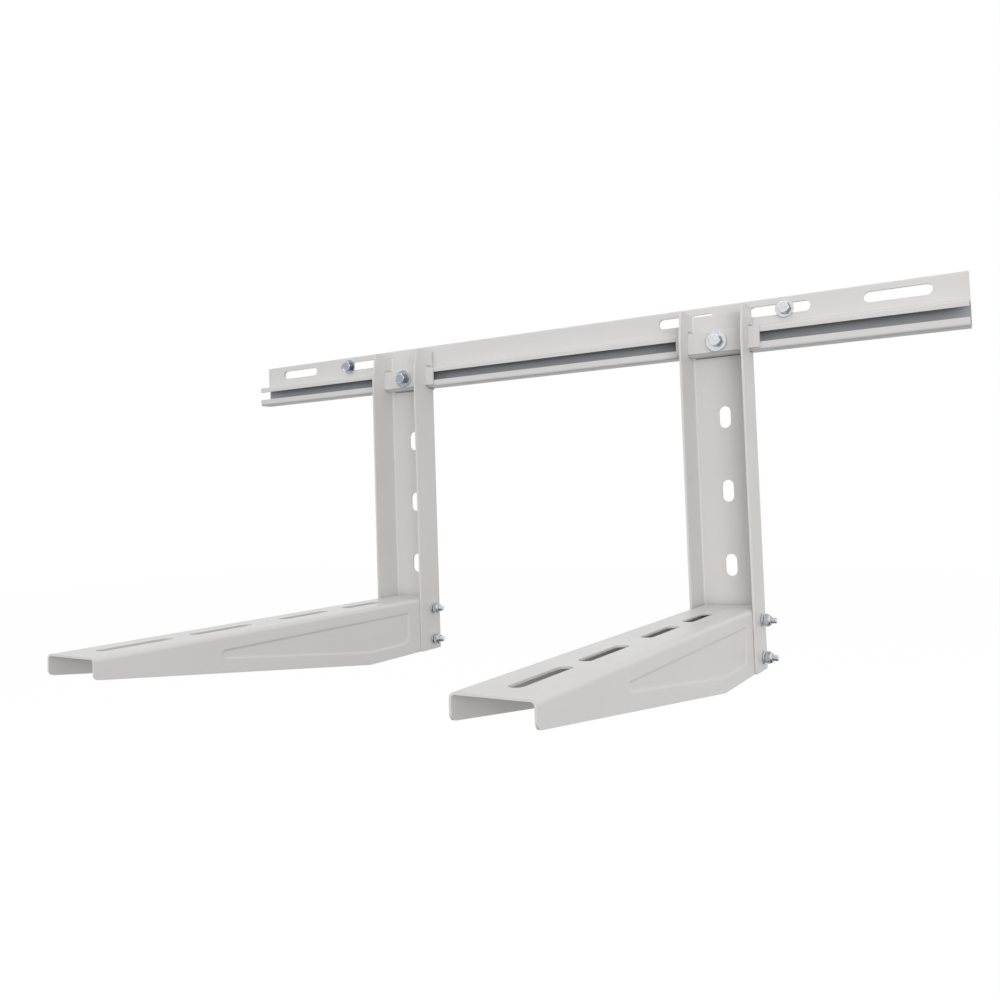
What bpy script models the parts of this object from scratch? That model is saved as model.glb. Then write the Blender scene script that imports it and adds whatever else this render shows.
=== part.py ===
"""Heavy-duty wall bracket: a folded cross rail, two uprights and two arms, clamped and bolted together.

The wall is the plane Y = 0, the arms reach out along -Y, the rail runs along X, and Z is up.
The origin is the middle of the rail's back face.
"""
import math

import bmesh
import bpy
from mathutils import Matrix, Vector

MM = 0.001

# Clearances
SEAT_GAP = 0.3 * MM
THREAD_GAP = 0.2 * MM
BOLT_HOLE_CLEARANCE = 0.6 * MM
WASHER_CLEARANCE = 0.4 * MM

# Rail: one strip, doubled back on itself along its top edge, with an open channel along its foot
RAIL_LENGTH = 800 * MM
RAIL_HEIGHT = 49 * MM
RAIL_SHEET = 1.5 * MM
RAIL_HEM_GAP = 0.3 * MM
RAIL_BEND_INSIDE = 1.2 * MM
CHANNEL_HEIGHT = 23 * MM
CHANNEL_DEPTH = 18 * MM
LOWER_LIP_HEIGHT = 7.5 * MM
MOUTH_HEIGHT = 9.2 * MM
RAIL_SLOT_LENGTH = 55.5 * MM
RAIL_SLOT_HEIGHT = 9.6 * MM
RAIL_SLOT_DROP = 11.2 * MM
SLOTS_FROM_LEFT_END = (53.5 * MM, 147.6 * MM)
SLOTS_FROM_RIGHT_END = (55.5 * MM, 156 * MM, 245.5 * MM)

# Uprights
UPRIGHT_FROM_LEFT_END = 227 * MM
UPRIGHT_FROM_RIGHT_END = 210.5 * MM
UPRIGHT_WIDTH = 59.6 * MM
UPRIGHT_DEPTH = 37.5 * MM
UPRIGHT_SHEET = 2 * MM
UPRIGHT_BEND_INSIDE = 2 * MM
UPRIGHT_TOP_DROP = 7 * MM
UPRIGHT_BOTTOM_DROP = 339.5 * MM
WEB_TOP_DROP = 2 * MM
FLANGE_TOP_SETBACK = 6 * MM
FLANGE_TAPER_LENGTH = 28 * MM
FLANGE_TAPER_RADIUS = 20 * MM
FLANGE_CORNER_RADIUS = 1.5 * MM
WEB_SLOT_WIDTH = 10.9 * MM
WEB_SLOT_HEIGHT = 20.7 * MM
WEB_SLOT_COUNT = 3
WEB_SLOT_PITCH = 69.5 * MM
FIRST_WEB_SLOT_DROP = 107 * MM

# Saddles: flat bars across the rail's mouth, through the flanges of the uprights that they hold
SADDLE_OVERHANG = 9.9 * MM
SADDLE_HEIGHT = 20.3 * MM
SADDLE_THICKNESS = 3 * MM
SADDLE_EDGE = 0.4 * MM
NOTCH_ABOVE_RAIL = 2 * MM
NOTCH_BELOW_RAIL = 0.8 * MM

# Arms
ARM_REACH = 440 * MM
ARM_SHEET = 1.6 * MM
ARM_BEND_INSIDE = 2.4 * MM
ARM_ROOT_HEIGHT = 56.9 * MM
ARM_TIP_HEIGHT = 16 * MM
ARM_KNEE_REACH = 127 * MM
ARM_KNEE_RADIUS = 12 * MM
ARM_TIP_RADIUS = 5 * MM
ARM_SLOT_WIDTH = 10 * MM
ARM_SLOTS_FROM_TIP = 22 * MM
ARM_SLOTS_FROM_WALL = 76.5 * MM
ARM_SLOT_BRIDGES = (19 * MM, 36.5 * MM, 25.3 * MM)
ARM_SLOT_SHARES = (70, 68, 64, 58.7)
HANG_HOLE_DIAMETER = 4 * MM
HANG_HOLE_REACH = 36 * MM
PANEL_DEPTH = 1.2 * MM
PANEL_SLOPE_WIDTH = 2.6 * MM
PANEL_SLOPE_STEPS = 3
PANEL_TOP_MARGIN = 12 * MM
PANEL_BOTTOM_MARGIN = 11 * MM
PANEL_REAR_REACH = 60 * MM
PANEL_NOSE_HEIGHT = 8.6 * MM
PANEL_NOSE_RADIUS = 4 * MM
PANEL_CORNER_RADIUS = 3 * MM
PANEL_HEEL_RADIUS = 10 * MM

# M6 bolts, screws, washers and nuts
THREAD_DIAMETER = 5.8 * MM
THREAD_END_CHAMFER = 0.7 * MM
HEX_ACROSS_FLATS = 10 * MM
ARM_BOLT_HEAD_HEIGHT = 4 * MM
RAIL_BOLT_HEAD_HEIGHT = 5.6 * MM
HEX_CHAMFER_ANGLE = math.radians(30)
HEX_FACE_MARGIN = 0.25 * MM
WASHER_THICKNESS = 1.6 * MM
WASHER_EDGE = 0.3 * MM
ARM_WASHER_DIAMETER = 12 * MM
SADDLE_WASHER_DIAMETER = 20 * MM
RAIL_WASHER_DIAMETER = 17 * MM
ARM_BOLT_END = 4.8 * MM
ARM_BOLT_SETBACK = 18.5 * MM
ARM_BOLT_RISE = 11.6 * MM
ARM_BOLT_PITCH = 33.4 * MM
SADDLE_BOLT_END = 3.7 * MM
LEFT_SCREW_SHIFT = -13.6 * MM
RIGHT_SCREW_SHIFT = 4.8 * MM
NUT_HEX_HEIGHT = 4.6 * MM
NUT_HEIGHT = 6.2 * MM
NUT_COLLAR_WALL = 0.75 * MM
NUT_COLLAR_ROUND = 0.6 * MM
NUT_MOUTH_CLEARANCE = 0.3 * MM
NUT_MOUTH_DEPTH = 0.4 * MM
INSERT_WALL = 0.7 * MM
INSERT_HEIGHT = 1.2 * MM
CHANNEL_NUT_LENGTH = 20 * MM
CHANNEL_NUT_CLEARANCE = 2 * MM
CHANNEL_NUT_THICKNESS = 5 * MM
CHANNEL_NUT_EDGE = 0.6 * MM

# Fineness of round forms, and how far a cutter runs past what it cuts
ARC_STEP = math.radians(18)
TURNED_STEPS = 24
OVERRUN = 5 * MM
SHARP_ANGLE = math.radians(35)
WELD_DISTANCE = 0.001 * MM

# Places that follow from the sizes
RAIL_TOP = RAIL_HEIGHT / 2
RAIL_BOTTOM = -RAIL_HEIGHT / 2
RAIL_FACE_Y = -(2 * RAIL_SHEET + RAIL_HEM_GAP)
RAIL_SLOT_Z = RAIL_TOP - RAIL_SLOT_DROP
LEFT_SLOTS_X = [reach - RAIL_LENGTH / 2 for reach in SLOTS_FROM_LEFT_END]
RIGHT_SLOTS_X = [RAIL_LENGTH / 2 - reach for reach in SLOTS_FROM_RIGHT_END]
RAIL_SCREW_X = {"left": LEFT_SLOTS_X[1] + LEFT_SCREW_SHIFT, "right": RIGHT_SLOTS_X[1] + RIGHT_SCREW_SHIFT}
CHANNEL_TOP = RAIL_BOTTOM + CHANNEL_HEIGHT
MOUTH_BOTTOM = RAIL_BOTTOM + LOWER_LIP_HEIGHT
MOUTH_TOP = MOUTH_BOTTOM + MOUTH_HEIGHT
MOUTH_Z = (MOUTH_TOP + MOUTH_BOTTOM) / 2

UPRIGHT_X = {"left": UPRIGHT_FROM_LEFT_END - RAIL_LENGTH / 2,
             "right": RAIL_LENGTH / 2 - UPRIGHT_FROM_RIGHT_END}
UPRIGHT_TOP = RAIL_TOP - UPRIGHT_TOP_DROP
UPRIGHT_BOTTOM = RAIL_TOP - UPRIGHT_BOTTOM_DROP
WEB_BACK_Y = RAIL_FACE_Y - SEAT_GAP
WEB_FRONT_Y = WEB_BACK_Y - UPRIGHT_SHEET
FLANGE_FRONT_Y = WEB_BACK_Y - UPRIGHT_DEPTH

SADDLE_LENGTH = UPRIGHT_WIDTH + 2 * SADDLE_OVERHANG
SADDLE_TOP = MOUTH_Z + SADDLE_HEIGHT / 2
SADDLE_BOTTOM = MOUTH_Z - SADDLE_HEIGHT / 2
SADDLE_BACK_Y = -CHANNEL_DEPTH - SEAT_GAP
SADDLE_FRONT_Y = SADDLE_BACK_Y - SADDLE_THICKNESS
CHANNEL_NUT_Y = -CHANNEL_DEPTH + RAIL_SHEET + SEAT_GAP
CHANNEL_NUT_HEIGHT = CHANNEL_HEIGHT - 2 * (RAIL_SHEET + CHANNEL_NUT_CLEARANCE)

ARM_WIDTH = UPRIGHT_WIDTH - 2 * (UPRIGHT_SHEET + SEAT_GAP)
ARM_BOTTOM = UPRIGHT_BOTTOM
ARM_TOP = ARM_BOTTOM + ARM_ROOT_HEIGHT
ARM_BACK_Y = WEB_FRONT_Y - UPRIGHT_BEND_INSIDE
ARM_SLOPE = (ARM_ROOT_HEIGHT - ARM_TIP_HEIGHT) / (ARM_REACH - ARM_KNEE_REACH)
PANEL_ROOT_HEIGHT = ARM_ROOT_HEIGHT - PANEL_TOP_MARGIN - PANEL_BOTTOM_MARGIN
PANEL_FRONT_REACH = ARM_KNEE_REACH + (PANEL_ROOT_HEIGHT - PANEL_NOSE_HEIGHT) / ARM_SLOPE
LOWER_ARM_BOLT_Z = ARM_BOTTOM + ARM_BOLT_RISE
ARM_BOLT_HEIGHTS = {"lower": LOWER_ARM_BOLT_Z, "upper": LOWER_ARM_BOLT_Z + ARM_BOLT_PITCH}

THREAD_RADIUS = THREAD_DIAMETER / 2
BOLT_HOLE_RADIUS = THREAD_RADIUS + BOLT_HOLE_CLEARANCE
TAPPED_RADIUS = THREAD_RADIUS + THREAD_GAP
INSERT_RADIUS = TAPPED_RADIUS + INSERT_WALL
INSERT_POCKET_RADIUS = INSERT_RADIUS + SEAT_GAP / 2
NUT_COLLAR_RADIUS = INSERT_POCKET_RADIUS + NUT_COLLAR_WALL
HEX_CORNER_RADIUS = HEX_ACROSS_FLATS / math.sqrt(3)
UNDER_HEAD = SEAT_GAP + WASHER_THICKNESS + SEAT_GAP
RAIL_SCREW_LENGTH = UNDER_HEAD - RAIL_FACE_Y - SEAT_GAP
SADDLE_BOLT_LENGTH = UNDER_HEAD - SADDLE_FRONT_Y + CHANNEL_NUT_Y + CHANNEL_NUT_THICKNESS + SADDLE_BOLT_END
ARM_BOLT_LENGTH = UNDER_HEAD + UPRIGHT_WIDTH + UNDER_HEAD + NUT_HEIGHT + ARM_BOLT_END


# Outlines in a plane

def left_of(direction):
    return Vector((-direction.y, direction.x))


def offset_corner(before, corner, after, distance):
    """A path's corner moved to the left by a distance; either neighbour may be missing."""
    into = (corner - before).normalized() if before else None
    out = (after - corner).normalized() if after else into
    into = into or out
    return corner + (left_of(into) + left_of(out)) * distance / (1 + into.dot(out))


def rounded_corner(before, corner, after, radius):
    """The points of the arc that rounds one corner of a path, within half of each side that meets there."""
    into = (corner - before).normalized()
    out = (after - corner).normalized()
    turn = math.atan2(into.cross(out), into.dot(out))
    if radius <= 0 or turn == 0:
        return [corner]
    room = 0.499 * min((corner - before).length, (after - corner).length)
    reach = min(radius * math.tan(abs(turn) / 2), room)
    radius = math.copysign(reach / math.tan(abs(turn) / 2), turn)
    start = corner - into * reach
    centre = start + left_of(into) * radius
    steps = max(2, round(abs(turn) / ARC_STEP))
    return [centre + Matrix.Rotation(turn * k / steps, 2) @ (start - centre) for k in range(steps + 1)]


def rounded_outline(corners, inset=0):
    """A closed anticlockwise outline from (u, v, radius) corners, moved in by an inset."""
    points = [Vector(corner[:2]) for corner in corners]
    count = len(points)
    moved = [offset_corner(points[k - 1], points[k], points[(k + 1) % count], inset) for k in range(count)]
    outline = []
    for k in range(count):
        outline += rounded_corner(moved[k - 1], moved[k], moved[(k + 1) % count], corners[k][2])
    return outline


def bent_sheet(path, sheet):
    """The outline of a bent sheet, seen end on, from its middle line: (u, v, radius of the middle line)."""
    points = [Vector(stop[:2]) for stop in path]
    ends = [None, *points, None]
    faces = []
    for side in (sheet / 2, -sheet / 2):
        corners = [offset_corner(*ends[k:k + 3], side) for k in range(len(points))]
        face = [corners[0]]
        for k in range(1, len(points) - 1):
            turn = (points[k] - points[k - 1]).cross(points[k + 1] - points[k])
            face += rounded_corner(*corners[k - 1:k + 2], path[k][2] - math.copysign(side, side * turn))
        faces.append(face + [corners[-1]])
    return faces[0] + faces[1][::-1]


def slot_outline(u, v, length_u, length_v):
    """A slot with round ends, along whichever direction is longer."""
    along_u = length_u > length_v
    radius = min(length_u, length_v) / 2
    shift = Vector((length_u / 2 - radius, 0)) if along_u else Vector((0, length_v / 2 - radius))
    start = -math.pi / 2 if along_u else 0
    steps = round(math.pi / ARC_STEP)
    outline = []
    for side in (1, -1):
        centre = Vector((u, v)) + side * shift
        for k in range(steps + 1):
            angle = start + math.pi * (k / steps + (side < 0))
            outline.append(centre + radius * Vector((math.cos(angle), math.sin(angle))))
    return outline


def circle_outline(u, v, radius):
    angles = [math.tau * k / TURNED_STEPS for k in range(TURNED_STEPS)]
    return [Vector((u + radius * math.cos(angle), v + radius * math.sin(angle))) for angle in angles]


# Solids, which stay in the workshop collection until they are finished

EXTRUDED_ALONG = {"X": Matrix(((0, 0, 1), (1, 0, 0), (0, 1, 0))),
                  "Y": Matrix(((1, 0, 0), (0, 0, -1), (0, 1, 0))),
                  "Z": Matrix.Identity(3)}


def in_workshop(name, data):
    obj = bpy.data.objects.new(name, data)
    bpy.data.collections["workshop"].objects.link(obj)
    return obj


def solid_from(source):
    """Replace an object by a closed mesh, where it lies, of what its curve or its modifiers make."""
    bpy.context.view_layer.update()
    evaluated = source.evaluated_get(bpy.context.evaluated_depsgraph_get())
    mesh = bpy.data.meshes.new_from_object(evaluated)
    mesh.transform(source.matrix_world)
    shape = bmesh.new()
    shape.from_mesh(mesh)
    bmesh.ops.remove_doubles(shape, verts=shape.verts, dist=WELD_DISTANCE)
    bmesh.ops.recalc_face_normals(shape, faces=shape.faces)
    shape.to_mesh(mesh)
    shape.free()
    solid = in_workshop(source.name, mesh)
    bpy.data.objects.remove(source, do_unlink=True)
    return solid


def prism(name, outline, axis, low, high):
    """Extrude an outline: (Y, Z) along X, (X, Z) along Y, or (X, Y) along Z."""
    curve = bpy.data.curves.new(name, "CURVE")
    curve.dimensions = "2D"
    curve.fill_mode = "BOTH"
    curve.extrude = (high - low) / 2
    spline = curve.splines.new("POLY")
    spline.points.add(len(outline) - 1)
    for point, place in zip(spline.points, outline):
        point.co = (place.x, place.y, 0, 1)
    spline.use_cyclic_u = True
    source = in_workshop(name, curve)
    middle = Vector((0, 0, 0))
    middle["XYZ".index(axis)] = (low + high) / 2
    source.matrix_world = Matrix.Translation(middle) @ EXTRUDED_ALONG[axis].to_4x4()
    return solid_from(source)


def turned(name, profile, closed=False):
    """Turn a (radius, height) profile, listed from top to bottom on its outer side, about the Z axis."""
    mesh = bpy.data.meshes.new(name)
    points = [(radius, 0, height) for radius, height in profile]
    edges = [(k, k + 1) for k in range(len(points) - 1)]
    if closed:
        edges.append((len(points) - 1, 0))
    mesh.from_pydata(points, edges, [])
    source = in_workshop(name, mesh)
    screw = source.modifiers.new("Turn", "SCREW")
    screw.steps = TURNED_STEPS
    screw.render_steps = TURNED_STEPS
    screw.use_merge_vertices = True
    screw.merge_threshold = WELD_DISTANCE
    return solid_from(source)


def loft(name, rings):
    """A solid through rings that have as many points each, with flat ends."""
    count = len(rings[0])
    last = (len(rings) - 1) * count
    faces = [range(count), range(last, last + count)]
    for start in range(0, last, count):
        for k in range(count):
            after = start + (k + 1) % count
            faces.append((start + k, after, after + count, start + k + count))
    mesh = bpy.data.meshes.new(name)
    mesh.from_pydata([point for ring in rings for point in ring], [], [tuple(face) for face in faces])
    return solid_from(in_workshop(name, mesh))


def primitive(name, create, **sizes):
    shape = bmesh.new()
    create(shape, **sizes)
    mesh = bpy.data.meshes.new(name)
    shape.to_mesh(mesh)
    shape.free()
    return in_workshop(name, mesh)


def box(name, low, high, edge=0):
    """A block between two corners, with its edges cut back if they have a size."""
    middle = Matrix.Translation((Vector(low) + Vector(high)) / 2)
    size = Matrix.Diagonal((*(Vector(high) - Vector(low)), 1))
    block = primitive(name, bmesh.ops.create_cube, size=1, matrix=middle @ size)
    if edge:
        bevel = block.modifiers.new("Edges", "BEVEL")
        bevel.width = edge
        bevel.segments = 1
    return block


def hexagon_bar(name, height):
    return primitive(name, bmesh.ops.create_cone, cap_ends=True, segments=6, radius1=HEX_CORNER_RADIUS,
                     radius2=HEX_CORNER_RADIUS, depth=height, matrix=Matrix.Translation((0, 0, height / 2)))


def combined(obj, operation, tools):
    """The object joined with, cut by or limited to all the tools at once; the tools are used up."""
    together = bpy.data.collections.new("tools")
    bpy.data.collections["workshop"].children.link(together)
    for tool in tools:
        together.objects.link(tool)
    boolean = obj.modifiers.new("Combined", "BOOLEAN")
    boolean.operation = operation
    boolean.solver = "EXACT"
    boolean.operand_type = "COLLECTION"
    boolean.collection = together
    solid = solid_from(obj)
    for tool in tools:
        bpy.data.objects.remove(tool, do_unlink=True)
    bpy.data.collections.remove(together)
    return solid


# Sheet pieces

def make_rail():
    half = RAIL_SHEET / 2
    bend = RAIL_BEND_INSIDE + half
    hem = RAIL_HEM_GAP / 2 + half
    front_layer = RAIL_FACE_Y + half
    lip = -CHANNEL_DEPTH + half
    path = [(lip, MOUTH_TOP, 0),
            (lip, CHANNEL_TOP - half, bend),
            (front_layer, CHANNEL_TOP - half, bend),
            (front_layer, RAIL_TOP - half, hem),
            (-half, RAIL_TOP - half, hem),
            (-half, RAIL_BOTTOM + half, bend),
            (lip, RAIL_BOTTOM + half, bend),
            (lip, MOUTH_BOTTOM, 0)]
    rail = prism("rail", bent_sheet(path, RAIL_SHEET), "X", -RAIL_LENGTH / 2, RAIL_LENGTH / 2)
    slots = [prism("slot", slot_outline(x, RAIL_SLOT_Z, RAIL_SLOT_LENGTH, RAIL_SLOT_HEIGHT),
                   "Y", RAIL_FACE_Y - OVERRUN, OVERRUN) for x in LEFT_SLOTS_X + RIGHT_SLOTS_X]
    return combined(rail, "DIFFERENCE", slots)


def arm_bolt_holes():
    return [prism("bolt_hole", circle_outline(-ARM_BOLT_SETBACK, z, BOLT_HOLE_RADIUS), "X",
                  -UPRIGHT_WIDTH, UPRIGHT_WIDTH) for z in ARM_BOLT_HEIGHTS.values()]


def make_upright():
    half = UPRIGHT_SHEET / 2
    side = UPRIGHT_WIDTH / 2 - half
    bend = UPRIGHT_BEND_INSIDE + half
    web = WEB_BACK_Y - half
    path = [(-side, FLANGE_FRONT_Y, 0), (-side, web, bend), (side, web, bend), (side, FLANGE_FRONT_Y, 0)]
    upright = prism("upright", bent_sheet(path, UPRIGHT_SHEET), "Z", UPRIGHT_BOTTOM, UPRIGHT_TOP)

    # The flanges taper at the top, and a notch from behind takes the rail and, at its end, the saddle
    behind = WEB_BACK_Y + OVERRUN
    saddle_front = SADDLE_FRONT_Y - SEAT_GAP
    notch_foot = RAIL_BOTTOM - NOTCH_BELOW_RAIL
    notch_head = CHANNEL_TOP + NOTCH_ABOVE_RAIL
    side_view = [(FLANGE_FRONT_Y, UPRIGHT_BOTTOM, FLANGE_CORNER_RADIUS),
                 (behind, UPRIGHT_BOTTOM, 0),
                 (behind, notch_foot, 0),
                 (SADDLE_BACK_Y, notch_foot, 0),
                 (SADDLE_BACK_Y, SADDLE_BOTTOM - SEAT_GAP, 0),
                 (saddle_front, SADDLE_BOTTOM - SEAT_GAP, 0),
                 (saddle_front, SADDLE_TOP + SEAT_GAP, 0),
                 (SADDLE_BACK_Y, SADDLE_TOP + SEAT_GAP, 0),
                 (SADDLE_BACK_Y, notch_head, 0),
                 (behind, notch_head, 0),
                 (behind, UPRIGHT_TOP, 0),
                 (FLANGE_FRONT_Y + FLANGE_TOP_SETBACK, UPRIGHT_TOP, FLANGE_CORNER_RADIUS),
                 (FLANGE_FRONT_Y, UPRIGHT_TOP - FLANGE_TAPER_LENGTH, FLANGE_TAPER_RADIUS)]
    blank = prism("side_view", rounded_outline(side_view), "X", -UPRIGHT_WIDTH, UPRIGHT_WIDTH)
    upright = combined(upright, "INTERSECT", [blank])

    flat = UPRIGHT_WIDTH / 2 - UPRIGHT_SHEET - UPRIGHT_BEND_INSIDE
    cutters = [box("web_top", (-flat, WEB_FRONT_Y - OVERRUN, UPRIGHT_TOP - WEB_TOP_DROP),
                   (flat, behind, UPRIGHT_TOP + OVERRUN))]
    for index in range(WEB_SLOT_COUNT):
        z = RAIL_TOP - FIRST_WEB_SLOT_DROP - index * WEB_SLOT_PITCH
        cutters.append(prism("web_slot", slot_outline(0, z, WEB_SLOT_WIDTH, WEB_SLOT_HEIGHT), "Y",
                             WEB_FRONT_Y - OVERRUN, behind))
    return combined(upright, "DIFFERENCE", cutters + arm_bolt_holes())


def make_saddle():
    bar = box("saddle", (-SADDLE_LENGTH / 2, SADDLE_FRONT_Y, SADDLE_BOTTOM),
              (SADDLE_LENGTH / 2, SADDLE_BACK_Y, SADDLE_TOP), SADDLE_EDGE)
    hole = prism("bolt_hole", circle_outline(0, MOUTH_Z, BOLT_HOLE_RADIUS), "Y",
                 SADDLE_FRONT_Y - OVERRUN, SADDLE_BACK_Y + OVERRUN)
    return combined(bar, "DIFFERENCE", [hole])


def pressing(hand, start, face, widening):
    """The panel's form on one side of the arm: straight from a depth to a face, then in along its slope."""
    top = ARM_TOP - PANEL_TOP_MARGIN
    foot = ARM_BOTTOM + PANEL_BOTTOM_MARGIN
    panel = [(-PANEL_FRONT_REACH, top, PANEL_NOSE_RADIUS),
             (-PANEL_FRONT_REACH, top - PANEL_NOSE_HEIGHT, PANEL_NOSE_RADIUS),
             (-ARM_KNEE_REACH, foot, ARM_KNEE_RADIUS),
             (-PANEL_REAR_REACH, foot, PANEL_HEEL_RADIUS),
             (-PANEL_REAR_REACH, top, PANEL_CORNER_RADIUS)]
    levels = [(start, -widening)]
    for step in range(PANEL_SLOPE_STEPS + 1):
        way = step / PANEL_SLOPE_STEPS
        sunk = PANEL_DEPTH * (1 - math.cos(math.pi * way)) / 2
        levels.append((face + sunk, PANEL_SLOPE_WIDTH * way - widening))
    rings = []
    for depth, inset in levels:
        x = hand * (ARM_WIDTH / 2 - depth)
        rings.append([(x, point.x, point.y) for point in rounded_outline(panel, inset)])
    return loft("pressing", rings)


def arm_slots():
    """Each slot's reach and length, from the tip on: they share what the bridges leave of their row."""
    start = ARM_REACH - ARM_SLOTS_FROM_TIP
    room = start - ARM_SLOTS_FROM_WALL - sum(ARM_SLOT_BRIDGES)
    slots = []
    for share, bridge in zip(ARM_SLOT_SHARES, (*ARM_SLOT_BRIDGES, 0)):
        length = room * share / sum(ARM_SLOT_SHARES)
        slots.append((start - length / 2, length))
        start -= length + bridge
    return slots


def make_arm():
    half = ARM_SHEET / 2
    side = ARM_WIDTH / 2 - half
    bend = ARM_BEND_INSIDE + half
    path = [(-side, ARM_BOTTOM - OVERRUN, 0), (-side, ARM_TOP - half, bend), (side, ARM_TOP - half, bend),
            (side, ARM_BOTTOM - OVERRUN, 0)]
    arm = prism("arm", bent_sheet(path, ARM_SHEET), "Y", -ARM_REACH, ARM_BACK_Y)

    side_view = [(-ARM_REACH, ARM_TOP - ARM_TIP_HEIGHT, ARM_TIP_RADIUS),
                 (-ARM_KNEE_REACH, ARM_BOTTOM, ARM_KNEE_RADIUS),
                 (ARM_BACK_Y + OVERRUN, ARM_BOTTOM, 0),
                 (ARM_BACK_Y + OVERRUN, ARM_TOP + OVERRUN, 0),
                 (-ARM_REACH, ARM_TOP + OVERRUN, 0)]
    blank = prism("side_view", rounded_outline(side_view), "X", -ARM_WIDTH, ARM_WIDTH)
    arm = combined(arm, "INTERSECT", [blank])

    # Panel pressed into each side, a dent outside and as deep a bulge inside
    slope = math.atan(PANEL_DEPTH / PANEL_SLOPE_WIDTH)
    widening = ARM_SHEET * math.tan(slope / 2)
    arm = combined(arm, "UNION", [pressing(hand, ARM_SHEET / 2, ARM_SHEET, widening) for hand in (1, -1)])
    arm = combined(arm, "DIFFERENCE", [pressing(hand, -OVERRUN, 0, 0) for hand in (1, -1)])

    cutters = [prism("hang_hole", circle_outline(0, -HANG_HOLE_REACH, HANG_HOLE_DIAMETER / 2), "Z",
                     ARM_TOP - OVERRUN, ARM_TOP + OVERRUN)]
    for reach, length in arm_slots():
        cutters.append(prism("slot", slot_outline(0, -reach, ARM_SLOT_WIDTH, length), "Z",
                             ARM_TOP - OVERRUN, ARM_TOP + OVERRUN))
    return combined(arm, "DIFFERENCE", cutters + arm_bolt_holes())


# Fasteners, standing on the Z axis with their seat at height 0

def hexagon_body(name, height, both_ends=False):
    """A hexagon whose corners are cut back by a cone at the top, or at both ends."""
    flat = HEX_ACROSS_FLATS / 2 - HEX_FACE_MARGIN
    corner = HEX_CORNER_RADIUS + HEX_FACE_MARGIN
    drop = (corner - flat) * math.tan(HEX_CHAMFER_ANGLE)
    profile = [(0, height), (flat, height), (corner, height - drop)]
    if both_ends:
        profile += [(corner, drop), (flat, 0), (0, 0)]
    else:
        profile += [(corner, -OVERRUN), (0, -OVERRUN)]
    return combined(hexagon_bar(name, height), "INTERSECT", [turned("chamfer", profile)])


def make_hex_bolt(length, head_height):
    tip = THREAD_RADIUS - THREAD_END_CHAMFER
    shank = turned("shank", [(0, head_height / 2), (THREAD_RADIUS, head_height / 2),
                             (THREAD_RADIUS, THREAD_END_CHAMFER - length), (tip, -length), (0, -length)])
    return combined(hexagon_body("hex_bolt", head_height), "UNION", [shank])


def make_washer(diameter):
    inner = THREAD_RADIUS + WASHER_CLEARANCE
    outer = diameter / 2
    top = WASHER_THICKNESS
    return turned("washer", [(inner, top), (outer - WASHER_EDGE, top), (outer, top - WASHER_EDGE),
                             (outer, 0), (inner, 0)], closed=True)


def make_lock_nut():
    round_start = NUT_COLLAR_RADIUS - NUT_COLLAR_ROUND
    collar = turned("collar", [(0, NUT_HEIGHT), (round_start, NUT_HEIGHT),
                               (NUT_COLLAR_RADIUS, NUT_HEIGHT - NUT_COLLAR_ROUND),
                               (NUT_COLLAR_RADIUS, NUT_HEX_HEIGHT / 2), (0, NUT_HEX_HEIGHT / 2)])
    nut = combined(hexagon_body("lock_nut", NUT_HEX_HEIGHT, both_ends=True), "UNION", [collar])
    mouth_radius = TAPPED_RADIUS + NUT_MOUTH_CLEARANCE
    pocket_top = NUT_HEIGHT - NUT_MOUTH_DEPTH
    pocket_floor = pocket_top - INSERT_HEIGHT - SEAT_GAP
    bore = turned("bore", [(0, NUT_HEIGHT + OVERRUN), (mouth_radius, NUT_HEIGHT + OVERRUN),
                           (mouth_radius, pocket_top), (INSERT_POCKET_RADIUS, pocket_top),
                           (INSERT_POCKET_RADIUS, pocket_floor), (TAPPED_RADIUS, pocket_floor),
                           (TAPPED_RADIUS, -OVERRUN), (0, -OVERRUN)])
    return combined(nut, "DIFFERENCE", [bore])


def make_nut_insert():
    top = NUT_HEIGHT - NUT_MOUTH_DEPTH - SEAT_GAP / 2
    foot = top - INSERT_HEIGHT
    return turned("nut_insert", [(TAPPED_RADIUS, top), (INSERT_RADIUS, top), (INSERT_RADIUS, foot),
                                 (TAPPED_RADIUS, foot)], closed=True)


def make_channel_nut():
    plate = box("channel_nut", (-CHANNEL_NUT_LENGTH / 2, -CHANNEL_NUT_HEIGHT / 2, -CHANNEL_NUT_THICKNESS),
                (CHANNEL_NUT_LENGTH / 2, CHANNEL_NUT_HEIGHT / 2, 0), CHANNEL_NUT_EDGE)
    hole = prism("tapped_hole", circle_outline(0, 0, TAPPED_RADIUS), "Z",
                 -CHANNEL_NUT_THICKNESS - OVERRUN, OVERRUN)
    return combined(plate, "DIFFERENCE", [hole])


# Assembly

TOWARDS_ROOM = Matrix.Rotation(math.pi / 2, 4, "X")
TOWARDS_RIGHT = Matrix.Rotation(math.pi / 2, 4, "Y")
TOWARDS_LEFT = Matrix.Rotation(-math.pi / 2, 4, "Y")


def new_collection(name):
    collection = bpy.data.collections.new(name)
    bpy.context.scene.collection.children.link(collection)
    return collection


def new_material(name, color, roughness, metallic):
    material = bpy.data.materials.new(name)
    material.use_nodes = True
    shader = material.node_tree.nodes["Principled BSDF"]
    shader.inputs["Base Color"].default_value = (*color, 1)
    shader.inputs["Roughness"].default_value = roughness
    shader.inputs["Metallic"].default_value = metallic
    return material


def finished(solid, material):
    """Take a solid out of the workshop as a mesh, ready to be placed as often as it is needed."""
    mesh = solid.data
    bpy.data.objects.remove(solid, do_unlink=True)
    mesh.shade_smooth()
    mesh.set_sharp_from_angle(angle=SHARP_ANGLE)
    mesh.materials.clear()
    mesh.materials.append(material)
    return mesh


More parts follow.
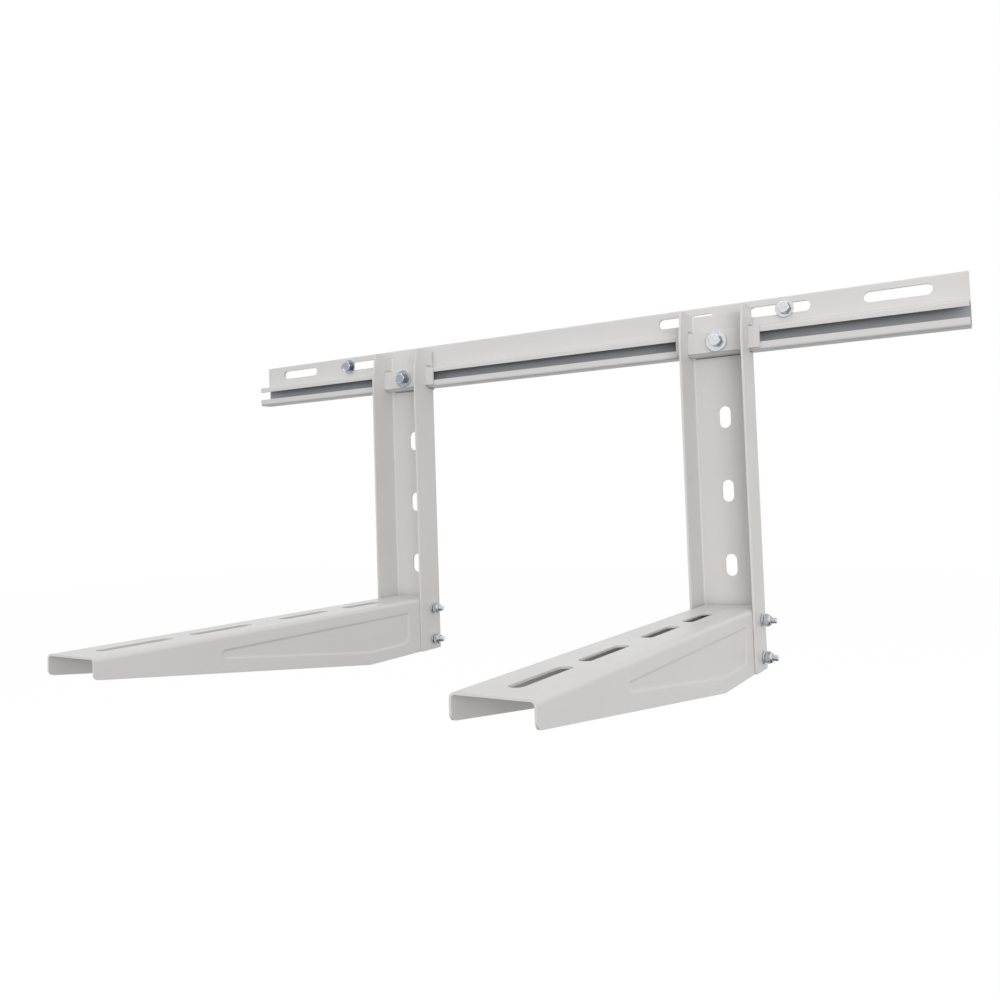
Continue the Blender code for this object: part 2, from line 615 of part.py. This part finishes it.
def place(name, mesh, place_at=(0, 0, 0), facing=Matrix.Identity(4), parent=None):
    obj = bpy.data.objects.new(name, mesh)
    bpy.data.collections["wall_bracket"].objects.link(obj)
    obj.parent = parent
    obj.matrix_basis = Matrix.Translation(place_at) @ facing
    return obj


def place_bracket(hand, meshes):
    """One upright with its arm and its clamp, carried by an empty on the rail."""
    bracket = place("bracket_" + hand, None, (UPRIGHT_X[hand], 0, 0))
    for piece in ("upright", "saddle", "arm"):
        place("_".join((piece, hand)), meshes[piece], parent=bracket)

    place("saddle_washer_" + hand, meshes["saddle_washer"],
          (0, SADDLE_FRONT_Y - SEAT_GAP, MOUTH_Z), TOWARDS_ROOM, bracket)
    place("saddle_bolt_" + hand, meshes["saddle_bolt"],
          (0, SADDLE_FRONT_Y - UNDER_HEAD, MOUTH_Z), TOWARDS_ROOM, bracket)
    place("channel_nut_" + hand, meshes["channel_nut"], (0, CHANNEL_NUT_Y, MOUTH_Z), TOWARDS_ROOM, bracket)

    flange = UPRIGHT_WIDTH / 2
    y = -ARM_BOLT_SETBACK
    for level, z in ARM_BOLT_HEIGHTS.items():
        tail = "_".join((hand, level))
        washer_seat = (flange + SEAT_GAP, y, z)
        nut_seat = (flange + UNDER_HEAD, y, z)
        place("arm_washer_nut_" + tail, meshes["arm_washer"], washer_seat, TOWARDS_RIGHT, bracket)
        place("arm_nut_" + tail, meshes["lock_nut"], nut_seat, TOWARDS_RIGHT, bracket)
        place("nut_insert_" + tail, meshes["nut_insert"], nut_seat, TOWARDS_RIGHT, bracket)
        washer_seat = (-flange - SEAT_GAP, y, z)
        head_seat = (-flange - UNDER_HEAD, y, z)
        place("arm_washer_head_" + tail, meshes["arm_washer"], washer_seat, TOWARDS_LEFT, bracket)
        place("arm_bolt_" + tail, meshes["arm_bolt"], head_seat, TOWARDS_LEFT, bracket)


def build():
    for obj in list(bpy.data.objects):
        bpy.data.objects.remove(obj, do_unlink=True)
    new_collection("wall_bracket")
    workshop = new_collection("workshop")
    paint = new_material("paint", (0.70, 0.69, 0.66), 0.4, 0)
    zinc = new_material("zinc", (0.62, 0.65, 0.69), 0.28, 1)
    nylon = new_material("nylon", (0.75, 0.77, 0.80), 0.5, 0)

    meshes = {"rail": finished(make_rail(), paint),
              "upright": finished(make_upright(), paint),
              "saddle": finished(make_saddle(), paint),
              "arm": finished(make_arm(), paint),
              "arm_bolt": finished(make_hex_bolt(ARM_BOLT_LENGTH, ARM_BOLT_HEAD_HEIGHT), zinc),
              "arm_washer": finished(make_washer(ARM_WASHER_DIAMETER), zinc),
              "lock_nut": finished(make_lock_nut(), zinc),
              "nut_insert": finished(make_nut_insert(), nylon),
              "saddle_bolt": finished(make_hex_bolt(SADDLE_BOLT_LENGTH, RAIL_BOLT_HEAD_HEIGHT), zinc),
              "saddle_washer": finished(make_washer(SADDLE_WASHER_DIAMETER), zinc),
              "channel_nut": finished(make_channel_nut(), zinc),
              "rail_screw": finished(make_hex_bolt(RAIL_SCREW_LENGTH, RAIL_BOLT_HEAD_HEIGHT), zinc),
              "rail_washer": finished(make_washer(RAIL_WASHER_DIAMETER), zinc)}
    bpy.data.collections.remove(workshop)

    place("rail", meshes["rail"])
    for hand in ("left", "right"):
        place_bracket(hand, meshes)
        place("rail_washer_" + hand, meshes["rail_washer"],
              (RAIL_SCREW_X[hand], RAIL_FACE_Y - SEAT_GAP, RAIL_SLOT_Z), TOWARDS_ROOM)
        place("rail_screw_" + hand, meshes["rail_screw"],
              (RAIL_SCREW_X[hand], RAIL_FACE_Y - UNDER_HEAD, RAIL_SLOT_Z), TOWARDS_ROOM)


build()
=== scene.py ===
"""Wall bracket in a pale studio: finishes, soft edges and threaded fasteners, in metres."""
import math

import bmesh
import bpy
from mathutils import Matrix, Vector


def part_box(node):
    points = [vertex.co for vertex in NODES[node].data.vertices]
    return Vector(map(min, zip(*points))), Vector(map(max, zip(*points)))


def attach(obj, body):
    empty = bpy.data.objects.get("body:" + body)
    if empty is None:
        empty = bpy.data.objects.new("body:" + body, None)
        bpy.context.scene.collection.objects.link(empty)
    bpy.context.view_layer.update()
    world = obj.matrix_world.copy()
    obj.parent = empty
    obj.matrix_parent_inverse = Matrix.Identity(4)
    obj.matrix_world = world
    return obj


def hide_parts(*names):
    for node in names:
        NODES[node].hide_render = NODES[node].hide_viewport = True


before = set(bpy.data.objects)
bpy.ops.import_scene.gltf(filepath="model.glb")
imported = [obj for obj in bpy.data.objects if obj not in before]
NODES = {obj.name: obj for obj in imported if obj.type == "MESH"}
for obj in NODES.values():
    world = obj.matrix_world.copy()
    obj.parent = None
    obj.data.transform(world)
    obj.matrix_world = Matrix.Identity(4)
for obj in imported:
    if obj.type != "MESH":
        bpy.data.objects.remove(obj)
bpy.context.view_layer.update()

MM = 0.001

# Camera, fitted to the photograph
CAMERA_PLACE = (0.44997, -0.86046, -0.1558)
CAMERA_PAN = math.radians(31.13)
CAMERA_TILT = math.radians(2.71)
CAMERA_ROLL = math.radians(-1.88)
CAMERA_LENS = 33.16
CAMERA_SENSOR = 36
CAMERA_SHIFT = (0.006, -0.0412)
CAMERA_NEAREST = 0.01

# Studio
WHITE = (1, 1, 1)
BLACK = (0, 0, 0)
FLOOR_HEIGHT = -0.9
FLOOR_REACH = 8
FLOOR_COLOUR = (0.27, 0.27, 0.27)
FLOOR_ROUGHNESS = 0.9
FLOOR_LIFT = 0.785
WORLD_LIGHT = 0.76
WORLD_SEEN = 1.0
AIM = (0, -0.2, -0.15)
# Each lamp's name, place, width, power, and whether reflections show it
LAMPS = (("lamp_above", (-0.3, -0.9, 2.0), 1.5, 3, True),
         ("lamp_front", (2.45, -3.5, 0.15), 2.6, 74, False))
# Each card's name, place, the place that it faces, half its width and height, and its colour
CARDS = (("card_below", (0.1, -0.5, -0.72), (0.1, -0.5, 0), (0.9, 0.9), (0.15, 0.16, 0.19)),
         ("card_left", (-1.5, -1.3, 0.1), AIM, (0.7, 0.5), (0.45, 0.51, 0.58)))

# Noise: each kind is a scale, in features to the metre, and a detail
NOISE_SPAN = (0.3, 0.7)

# Powder coat
PAINT = (0.722, 0.715, 0.710)
PAINT_WARM = (0.708, 0.699, 0.688)
PAINT_CLOUDS = (14, 3)
PAINT_SPECULAR = 0.26
PAINT_ROUGHNESS = (0.3, 0.37)
PAINT_ROUGH_CLOUDS = (40, 2)
PAINT_WAVES = (28, 1)
PAINT_WAVE_HEIGHT = 0.02 * MM
PAINT_GRAIN = (700, 1)
PAINT_GRAIN_HEIGHT = 0.0008 * MM
PAINT_EDGE = 0.25 * MM
PAINT_EDGE_ANGLE = math.radians(40)

# Painted shade: a darker, cooler colour inside the rail's channel
PAINT_CHANNEL_SHADE = (0.425, 0.440, 0.465)
CHANNEL_FRONT = -17.25 * MM
CHANNEL_BACK = -0.3 * MM
CHANNEL_TOP = -2.25 * MM
CHANNEL_BOTTOM = -23.75 * MM
CHANNEL_SOFT_END = 0.25 * MM

# Bright zinc
ZINC = (0.78, 0.79, 0.81)
ZINC_DULL = (0.62, 0.635, 0.66)
ZINC_PATCHES = (420, 3)
ZINC_SPECKS = (1100, 2)
ZINC_SPECK_SHARE = 0.5
ZINC_ROUGHNESS = (0.14, 0.26)
ZINC_ROUGH_SPOTS = (1800, 3)
ZINC_GRAIN = (2400, 2)
ZINC_GRAIN_HEIGHT = 0.004 * MM
ZINC_EDGE = 0.12 * MM
ZINC_EDGE_ANGLE = math.radians(25)

# The zinc of the rail's bolt heads: painted shade on the flanks, and a painted highlight on the
# chamfer up to the face's rim
ZINC_FLANK_SHADE = (0.24, 0.26, 0.29)
ZINC_RIM_HIGHLIGHT = (0.90, 0.91, 0.93)
CHAMFER_BELOW_FACE = 0.6 * MM
RIM_BELOW_FACE = 0.06 * MM
FLANK_SOFT_END = 0.15 * MM

# Nylon of the lock nuts' rings
NYLON = (0.72, 0.76, 0.82)
NYLON_DULL = (0.66, 0.71, 0.79)
NYLON_PATCHES = (600, 2)
NYLON_ROUGHNESS = (0.4, 0.55)
NYLON_ROUGH_SPOTS = (1500, 2)
NYLON_SUBSURFACE = 0.2
NYLON_DEPTH = 0.5 * MM

# Painted shade: a dark bead under the rail, in the gap between the rail and each upright's notch
BEAD_SHADE = (0.16, 0.16, 0.15)
BEAD_SHADE_PATCH = (0.24, 0.23, 0.21)
BEAD_PATCHES = (300, 3)
BEAD_SPECULAR = 0.2
BEAD_ROUGHNESS = (0.5, 0.7)
BEAD_ROUGH_SPOTS = (500, 2)
BEAD_LUMPS = (900, 2)
BEAD_LUMP_HEIGHT = 0.02 * MM
BEAD_INSET = 2.7 * MM
BEAD_PLACE = -1.5 * MM
BEAD_DROP = 0.5 * MM
BEAD_RADIUS = 0.75 * MM
BEAD_SWELL = 0.06
BEAD_SWELL_TURN = 1.7
BEAD_STEPS = 24
BEAD_SIDES = 12

# Soft edges
WELD_DISTANCE = 0.001 * MM
EDGE_SEGMENTS = 2
FLATNESS = 100

# Fasteners
AROUND = 72
ACROSS_FLATS = 10 * MM
FACET = math.radians(60)
FACE_RADIUS = 4.8 * MM
CHAMFER_ANGLE = math.radians(30)
ARM_HEAD = 4 * MM
RAIL_HEAD = 5.6 * MM
SOFT_EDGE = 0.14 * MM
CORNER_CUT = 0.1 * MM
SHANK_RADIUS = 2.9 * MM
THREAD_PITCH = 1 * MM
THREAD_DEPTH = 0.5 * MM
THREAD_FLANK = 1.25
THREAD_LENGTH = 14 * MM
THREAD_STEPS = 8
TIP_CHAMFER = 0.7 * MM
NUT_HEX = 4.6 * MM
NUT_HEIGHT = 6.2 * MM
NUT_COLLAR = 4.7 * MM
NUT_COLLAR_ROUND = 0.8 * MM
NUT_COLLAR_STEPS = 5
NUT_MOUTH = 3.4 * MM
NUT_POCKET = 3.95 * MM
NUT_POCKET_TOP = 5.8 * MM
NUT_POCKET_FLOOR = 4.3 * MM
NUT_BORE = 3.1 * MM
# Degrees that a fastener stands turned by, where it isn't square
TIGHTENED_TO = {"saddle_bolt_right": -10, "rail_screw_right": -8,
                "saddle_bolt_left": 4, "arm_nut_right_lower": 3}


# Materials

class Finish:
    """A material's node tree, with calls that keep its wiring short."""

    def __init__(self, name):
        self.material = bpy.data.materials.new(name)
        self.material.use_nodes = True
        self.tree = self.material.node_tree
        self.shader = self.tree.nodes["Principled BSDF"]
        self.place = self.tree.nodes.new("ShaderNodeTexCoord").outputs["Object"]

    def set(self, **values):
        """Values that are the same all over, on the shader's own sockets."""
        for name, value in values.items():
            self.shader.inputs[name.replace("_", " ")].default_value = value

    def feed(self, socket, output):
        self.tree.links.new(output, self.shader.inputs[socket])

    def ranged(self, value, low, high, start, end):
        """Spread what lies between start and end from low to high."""
        node = self.tree.nodes.new("ShaderNodeMapRange")
        node.inputs["From Min"].default_value = start
        node.inputs["From Max"].default_value = end
        node.inputs["To Min"].default_value = low
        node.inputs["To Max"].default_value = high
        self.tree.links.new(value, node.inputs["Value"])
        return node.outputs["Result"]

    def noise(self, scale, detail):
        node = self.tree.nodes.new("ShaderNodeTexNoise")
        node.inputs["Scale"].default_value = scale
        node.inputs["Detail"].default_value = detail
        self.tree.links.new(self.place, node.inputs["Vector"])
        return node.outputs["Fac"]

    def patches(self, kind, low=0, high=1):
        """Patches of noise that run from low to high."""
        return self.ranged(self.noise(*kind), low, high, *NOISE_SPAN)

    def within(self, axis, low, high, soft):
        """1 between two places along an axis, and 0 outside them, with soft ends."""
        split = self.tree.nodes.new("ShaderNodeSeparateXYZ")
        self.tree.links.new(self.place, split.inputs["Vector"])
        after = self.ranged(split.outputs[axis], 0, 1, low - soft, low + soft)
        before = self.ranged(split.outputs[axis], 1, 0, high - soft, high + soft)
        return self.product(after, before)

    def product(self, first, second):
        node = self.tree.nodes.new("ShaderNodeMath")
        node.operation = "MULTIPLY"
        self.tree.links.new(first, node.inputs[0])
        self.tree.links.new(second, node.inputs[1])
        return node.outputs["Value"]

    def mixed(self, value, low, high):
        """A colour between two; low may be an output that already varies."""
        mix = self.tree.nodes.new("ShaderNodeMix")
        mix.data_type = "RGBA"
        if isinstance(low, tuple):
            mix.inputs["A"].default_value = (*low, 1)
        else:
            self.tree.links.new(low, mix.inputs["A"])
        mix.inputs["B"].default_value = (*high, 1)
        self.tree.links.new(value, mix.inputs["Factor"])
        return mix.outputs["Result"]

    def bump(self, kind, height, below=None):
        """Raise the surface by noise, on top of a bump made before it."""
        node = self.tree.nodes.new("ShaderNodeBump")
        node.inputs["Strength"].default_value = 1
        node.inputs["Distance"].default_value = height
        self.tree.links.new(self.noise(*kind), node.inputs["Height"])
        if below:
            self.tree.links.new(below, node.inputs["Normal"])
        self.feed("Normal", node.outputs["Normal"])
        return node.outputs["Normal"]


def powder_coat(name, shaded_channel=False):
    """Semi-gloss powder coat over sheet; on the rail, a darker, cooler colour inside its channel
    is painted shade.
    """
    finish = Finish(name)
    finish.set(Metallic=0, Specular_IOR_Level=PAINT_SPECULAR)
    coat = finish.mixed(finish.patches(PAINT_CLOUDS), PAINT, PAINT_WARM)
    # Painted shade: a darker, cooler colour inside the rail's channel
    if shaded_channel:
        inside = finish.product(
            finish.within("Y", CHANNEL_FRONT, CHANNEL_BACK, CHANNEL_SOFT_END),
            finish.within("Z", CHANNEL_BOTTOM, CHANNEL_TOP, CHANNEL_SOFT_END))
        coat = finish.mixed(inside, coat, PAINT_CHANNEL_SHADE)
    finish.feed("Base Color", coat)
    finish.feed("Roughness", finish.patches(PAINT_ROUGH_CLOUDS, *PAINT_ROUGHNESS))
    waves = finish.bump(PAINT_WAVES, PAINT_WAVE_HEIGHT)
    finish.bump(PAINT_GRAIN, PAINT_GRAIN_HEIGHT, waves)
    return finish.material


def bright_zinc(name, head=None):
    """Bright zinc plate, duller in patches; head is the height of a bolt's head, whose flanks get
    painted shade and whose chamfer gets a painted highlight.
    """
    finish = Finish(name)
    finish.set(Metallic=1)
    plate = finish.mixed(finish.patches(ZINC_PATCHES), ZINC, ZINC_DULL)
    if head:
        # Painted shade on the head's flanks, and a painted highlight on its chamfer
        shoulder = head - CHAMFER_BELOW_FACE
        flank = finish.within("Z", 0, shoulder, FLANK_SOFT_END)
        chamfer = finish.within("Z", shoulder, head - RIM_BELOW_FACE, RIM_BELOW_FACE)
        plate = finish.mixed(chamfer, finish.mixed(flank, plate, ZINC_FLANK_SHADE), ZINC_RIM_HIGHLIGHT)
    else:
        plate = finish.mixed(finish.patches(ZINC_SPECKS, 0, ZINC_SPECK_SHARE), plate, ZINC_DULL)
    finish.feed("Base Color", plate)
    finish.feed("Roughness", finish.patches(ZINC_ROUGH_SPOTS, *ZINC_ROUGHNESS))
    finish.bump(ZINC_GRAIN, ZINC_GRAIN_HEIGHT)
    return finish.material


def nylon():
    finish = Finish("nylon")
    finish.set(Metallic=0, Subsurface_Weight=NYLON_SUBSURFACE, Subsurface_Scale=NYLON_DEPTH)
    finish.feed("Base Color", finish.mixed(finish.patches(NYLON_PATCHES), NYLON, NYLON_DULL))
    finish.feed("Roughness", finish.patches(NYLON_ROUGH_SPOTS, *NYLON_ROUGHNESS))
    return finish.material


def painted_shade_bead():
    """A dull, dark finish in patches for the bead under the rail, as painted shade."""
    finish = Finish("painted_shade_bead")
    finish.set(Metallic=0, Specular_IOR_Level=BEAD_SPECULAR)
    # Painted shade: dark patches of colour for the bead in the gap under the rail
    bead_shade = finish.mixed(finish.patches(BEAD_PATCHES), BEAD_SHADE, BEAD_SHADE_PATCH)
    finish.feed("Base Color", bead_shade)
    finish.feed("Roughness", finish.patches(BEAD_ROUGH_SPOTS, *BEAD_ROUGHNESS))
    finish.bump(BEAD_LUMPS, BEAD_LUMP_HEIGHT)
    return finish.material


# The model's own solids

def dress(node, material, edge, angle):
    """Give a solid its finish, and round its sharp edges while its large faces stay flat."""
    obj = NODES[node]
    obj.data.materials.clear()
    obj.data.materials.append(material)
    obj.data.shade_smooth()
    weld = obj.modifiers.new("Weld", "WELD")
    weld.merge_threshold = WELD_DISTANCE
    bevel = obj.modifiers.new("Edges", "BEVEL")
    bevel.width = edge
    bevel.segments = EDGE_SEGMENTS
    bevel.limit_method = "ANGLE"
    bevel.angle_limit = angle
    bevel.harden_normals = True
    flat = obj.modifiers.new("Flat", "WEIGHTED_NORMAL")
    flat.mode = "FACE_AREA"
    flat.weight = FLATNESS


def dress_solids(zinc):
    paint = powder_coat("powder_coat")
    rail_paint = powder_coat("powder_coat_rail", shaded_channel=True)
    plastic = nylon()
    for name in NODES:
        if name == "rail":
            dress(name, rail_paint, PAINT_EDGE, PAINT_EDGE_ANGLE)
        elif name.startswith("nut_insert"):
            dress(name, plastic, ZINC_EDGE, ZINC_EDGE_ANGLE)
        elif any(word in name for word in ("washer", "screw", "bolt", "nut")):
            dress(name, zinc, ZINC_EDGE, ZINC_EDGE_ANGLE)
        else:
            dress(name, paint, PAINT_EDGE, PAINT_EDGE_ANGLE)


# Meshes and objects

def mesh_from(shape, name):
    mesh = bpy.data.meshes.new(name)
    shape.to_mesh(mesh)
    shape.free()
    return mesh


def joined_mesh(name, loops, closed=False):
    """Join loops of points into one body: a ring if closed, and else capped."""
    shape = bmesh.new()
    loops = [[shape.verts.new(point) for point in loop] for loop in loops]
    pairs = list(zip(loops, loops[1:]))
    if closed:
        pairs.append((loops[-1], loops[0]))
    else:
        shape.faces.new(loops[0])
        shape.faces.new(reversed(loops[-1]))
    for before, after in pairs:
        for step in range(len(before)):
            beside = (step + 1) % len(before)
            shape.faces.new((before[step], after[step], after[beside], before[beside]))
    bmesh.ops.recalc_face_normals(shape, faces=shape.faces)
    mesh = mesh_from(shape, name)
    mesh.shade_smooth()
    return mesh


def sheet_mesh(name, width, height):
    """A flat sheet, given half its width and height."""
    shape = bmesh.new()
    corners = [(-width, -height), (width, -height), (width, height), (-width, height)]
    shape.faces.new([shape.verts.new((x, y, 0)) for x, y in corners])
    return mesh_from(shape, name)


def added(name, data):
    """A new object, in the scene."""
    obj = bpy.data.objects.new(name, data)
    bpy.context.scene.collection.objects.link(obj)
    return obj


def point_at(obj, place, target, axis):
    """Put an object at a place, with one of its axes towards a target."""
    obj.location = place
    obj.rotation_euler = (Vector(target) - Vector(place)).to_track_quat(axis, "Y").to_euler()


# Fasteners, each turned about Z from rings of (radius, height)

def angles(count):
    return [math.tau * step / count for step in range(count)]


def hexagon(angle):
    """Distance from the axis to the hexagon's side, with its corners just taken off."""
    from_flat = (angle % FACET) - FACET / 2
    corner = ACROSS_FLATS / 2 / math.cos(FACET / 2) - CORNER_CUT
    return min(ACROSS_FLATS / 2 / math.cos(from_flat), corner)


def even(radius, height):
    """A plain round ring."""
    return [(radius, height)] * AROUND


def hex_ring(inset, level):
    """A ring on the hexagon; level gives its height from its distance to the axis."""
    distances = [hexagon(angle) for angle in angles(AROUND)]
    return [(distance - inset, level(distance)) for distance in distances]


def chamfered_top(height):
    """Rings from a hexagon's face, over its cone, to its sides."""
    def cone(distance):
        return height - max(distance - FACE_RADIUS, 0) * math.tan(CHAMFER_ANGLE)
    return [even(FACE_RADIUS / 2, height), even(FACE_RADIUS - SOFT_EDGE, height),
            even(FACE_RADIUS - SOFT_EDGE / 4, height - SOFT_EDGE / 8),
            hex_ring(SOFT_EDGE, lambda distance: cone(distance - SOFT_EDGE)),
            hex_ring(SOFT_EDGE / 4, lambda distance: cone(distance) - SOFT_EDGE / 4),
            hex_ring(0, lambda distance: cone(distance) - SOFT_EDGE)]


def thread_ring(height, start, end):
    """A ring across a helical thread that runs from start down to end."""
    run = (start - height) / THREAD_PITCH
    chamfer = max(TIP_CHAMFER - (height - end), 0)
    ring = []
    for step in range(AROUND):
        turn = (run + step / AROUND) % 1
        groove = 1 - min(abs(2 * turn - 1) * THREAD_FLANK, 1)
        depth = groove * THREAD_DEPTH * min(run, 1)
        ring.append((SHANK_RADIUS - max(depth, chamfer), height))
    return ring


def bolt_rings(head, length):
    """A bolt, from its head's face down over its seat at 0 to the tip of its thread."""
    rings = chamfered_top(head)
    rings += [hex_ring(0, lambda distance: SOFT_EDGE), hex_ring(SOFT_EDGE, lambda distance: 0),
              even(SHANK_RADIUS + SOFT_EDGE, 0), even(SHANK_RADIUS, -SOFT_EDGE)]
    top = min(THREAD_LENGTH - length, -2 * SOFT_EDGE)
    thread = top + length
    count = round(thread / THREAD_PITCH * THREAD_STEPS)
    for step in range(count + 1):
        rings.append(thread_ring(top - thread * step / count, top, -length))
    return rings


def nut_rings():
    """A lock nut, from its seat up over its collar and down its bore."""
    top = chamfered_top(NUT_HEX)
    seat = [[(radius, NUT_HEX - height) for radius, height in ring] for ring in top]
    rings = [even(NUT_BORE, 0), *seat[1:], *reversed(top[2:]),
             even(NUT_COLLAR + SOFT_EDGE, NUT_HEX), even(NUT_COLLAR, NUT_HEX + SOFT_EDGE)]
    for step in range(NUT_COLLAR_STEPS + 1):
        angle = math.pi / 2 * step / NUT_COLLAR_STEPS
        rings.append(even(NUT_COLLAR - NUT_COLLAR_ROUND * (1 - math.cos(angle)),
                          NUT_HEIGHT - NUT_COLLAR_ROUND * (1 - math.sin(angle))))
    rings += [even(NUT_MOUTH, NUT_HEIGHT - SOFT_EDGE), even(NUT_MOUTH, NUT_POCKET_TOP),
              even(NUT_POCKET, NUT_POCKET_TOP), even(NUT_POCKET, NUT_POCKET_FLOOR),
              even(NUT_BORE, NUT_POCKET_FLOOR)]
    return rings


def turned_mesh(name, rings, closed=False):
    loops = []
    for ring in rings:
        loops.append([(radius * math.cos(angle), radius * math.sin(angle), height)
                      for angle, (radius, height) in zip(angles(AROUND), ring)])
    return joined_mesh(name, loops, closed)


def fasten(name, node, mesh, seat, facing, material):
    """Stand a turned piece in for a solid, on the same seat and facing the same way."""
    mesh.materials.append(material)
    obj = added(name, mesh)
    turn = Matrix.Rotation(math.radians(TIGHTENED_TO.get(node, 0)), 4, "Z")
    obj.matrix_world = Matrix.Translation(seat) @ facing @ turn
    flat = obj.modifiers.new("Flat", "WEIGHTED_NORMAL")
    flat.mode = "FACE_AREA"
    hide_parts(node)
    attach(obj, "root")


def add_fasteners(zinc):
    """Bolts with chamfered heads and threads, and lock nuts, on the seats of the solids."""
    # The rail's bolt heads, with painted shade on their flanks and a painted highlight on their
    # chamfers
    head_zinc = bright_zinc("bright_zinc_heads", RAIL_HEAD)
    into_room = Matrix.Rotation(math.pi / 2, 4, "X")
    right = Matrix.Rotation(math.pi / 2, 4, "Y")
    left = Matrix.Rotation(-math.pi / 2, 4, "Y")
    for node in NODES:
        low, high = (Vector(corner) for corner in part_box(node))
        middle = (low + high) / 2
        if node.startswith(("saddle_bolt", "rail_screw")):
            mesh = turned_mesh(node, bolt_rings(RAIL_HEAD, high.y - low.y - RAIL_HEAD))
            seat = (middle.x, low.y + RAIL_HEAD, middle.z)
            fasten("threaded_" + node, node, mesh, seat, into_room, head_zinc)
        elif node.startswith("arm_bolt"):
            mesh = turned_mesh(node, bolt_rings(ARM_HEAD, high.x - low.x - ARM_HEAD))
            seat = (low.x + ARM_HEAD, middle.y, middle.z)
            fasten("threaded_" + node, node, mesh, seat, left, zinc)
        elif node.startswith("arm_nut"):
            mesh = turned_mesh(node, nut_rings(), closed=True)
            fasten("collared_" + node, node, mesh, (low.x, middle.y, middle.z), right, zinc)


def add_beads(material):
    """A dark bead that closes the gap between the rail and each upright's notch, as painted shade.
    """
    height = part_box("rail")[0][2] - BEAD_DROP
    for hand in ("left", "right"):
        low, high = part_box("upright_" + hand)
        length = high[0] - low[0] - 2 * BEAD_INSET
        loops = []
        for step in range(BEAD_STEPS + 1):
            x = low[0] + BEAD_INSET + length * step / BEAD_STEPS
            radius = BEAD_RADIUS * (1 + BEAD_SWELL * math.sin(BEAD_SWELL_TURN * step))
            loops.append([(x, BEAD_PLACE + radius * math.cos(angle),
                           height + radius * math.sin(angle)) for angle in angles(BEAD_SIDES)])
        mesh = joined_mesh("bead_" + hand, loops)
        mesh.materials.append(material)
        obj = added("bead_" + hand, mesh)
        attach(obj, "root")


# Studio

def add_camera():
    camera = bpy.data.cameras.new("camera")
    camera.lens = CAMERA_LENS
    camera.sensor_width = CAMERA_SENSOR
    camera.shift_x, camera.shift_y = CAMERA_SHIFT
    camera.clip_start = CAMERA_NEAREST
    obj = added("camera", camera)
    pan = Matrix.Rotation(CAMERA_PAN, 4, "Z")
    tilt = Matrix.Rotation(math.pi / 2 + CAMERA_TILT, 4, "X")
    roll = Matrix.Rotation(CAMERA_ROLL, 4, "Z")
    obj.matrix_world = Matrix.Translation(CAMERA_PLACE) @ pan @ tilt @ roll
    bpy.context.scene.camera = obj


def glowing(name, base, glow):
    """A material without gloss; gives its tree and shader, for what sets how much it glows."""
    material = bpy.data.materials.new(name)
    material.use_nodes = True
    tree = material.node_tree
    shader = tree.nodes["Principled BSDF"]
    shader.inputs["Base Color"].default_value = (*base, 1)
    shader.inputs["Specular IOR Level"].default_value = 0
    shader.inputs["Emission Color"].default_value = (*glow, 1)
    return material, tree, shader


def seen_directly(tree):
    """1 for the camera's own rays and for those of reflections and clear materials, and else 0."""
    path = tree.nodes.new("ShaderNodeLightPath")
    seen = path.outputs["Is Camera Ray"]
    for name in ("Is Glossy Ray", "Is Transmission Ray"):
        either = tree.nodes.new("ShaderNodeMath")
        either.operation = "MAXIMUM"
        tree.links.new(seen, either.inputs[0])
        tree.links.new(path.outputs[name], either.inputs[1])
        seen = either.outputs["Value"]
    return seen


def add_floor():
    """A grey floor that the camera and reflections see as white, with the part's shadow on it."""
    mesh = sheet_mesh("floor", FLOOR_REACH, FLOOR_REACH)
    floor = added("floor", mesh)
    floor.location = (0, 0, FLOOR_HEIGHT)
    material, tree, shader = glowing("pale_floor", FLOOR_COLOUR, WHITE)
    shader.inputs["Roughness"].default_value = FLOOR_ROUGHNESS
    lift = tree.nodes.new("ShaderNodeMath")
    lift.operation = "MULTIPLY"
    lift.inputs[1].default_value = FLOOR_LIFT
    tree.links.new(seen_directly(tree), lift.inputs[0])
    tree.links.new(lift.outputs["Value"], shader.inputs["Emission Strength"])
    mesh.materials.append(material)


def add_world():
    """White to the camera and in reflections, and a dimmer even light on everything."""
    world = bpy.data.worlds.new("studio")
    world.use_nodes = True
    tree = world.node_tree
    background = tree.nodes["Background"]
    background.inputs["Color"].default_value = (*WHITE, 1)
    level = tree.nodes.new("ShaderNodeMapRange")
    level.inputs["To Min"].default_value = WORLD_LIGHT
    level.inputs["To Max"].default_value = WORLD_SEEN
    tree.links.new(seen_directly(tree), level.inputs["Value"])
    tree.links.new(level.outputs["Result"], background.inputs["Strength"])
    bpy.context.scene.world = world


def add_card(name, place, target, size, colour):
    """A card that only reflections see, so that bright metal has something dark to show."""
    mesh = sheet_mesh(name, *size)
    card = added(name, mesh)
    point_at(card, place, target, "Z")
    for ray in ("camera", "diffuse", "transmission", "volume_scatter", "shadow"):
        setattr(card, "visible_" + ray, False)
    material, _, shader = glowing(name, BLACK, colour)
    shader.inputs["Emission Strength"].default_value = 1
    mesh.materials.append(material)


def add_lamp(name, place, size, power, in_reflections):
    lamp = bpy.data.lights.new(name, "AREA")
    lamp.shape = "DISK"
    lamp.size = size
    lamp.energy = power
    obj = added(name, lamp)
    obj.visible_glossy = in_reflections
    point_at(obj, place, AIM, "-Z")


def add_studio():
    add_camera()
    add_floor()
    add_world()
    for card in CARDS:
        add_card(*card)
    for lamp in LAMPS:
        add_lamp(*lamp)


zinc = bright_zinc("bright_zinc")
dress_solids(zinc)
add_fasteners(zinc)
add_beads(painted_shade_bead())
add_studio()
bpy.context.scene.view_settings.view_transform = "Standard"
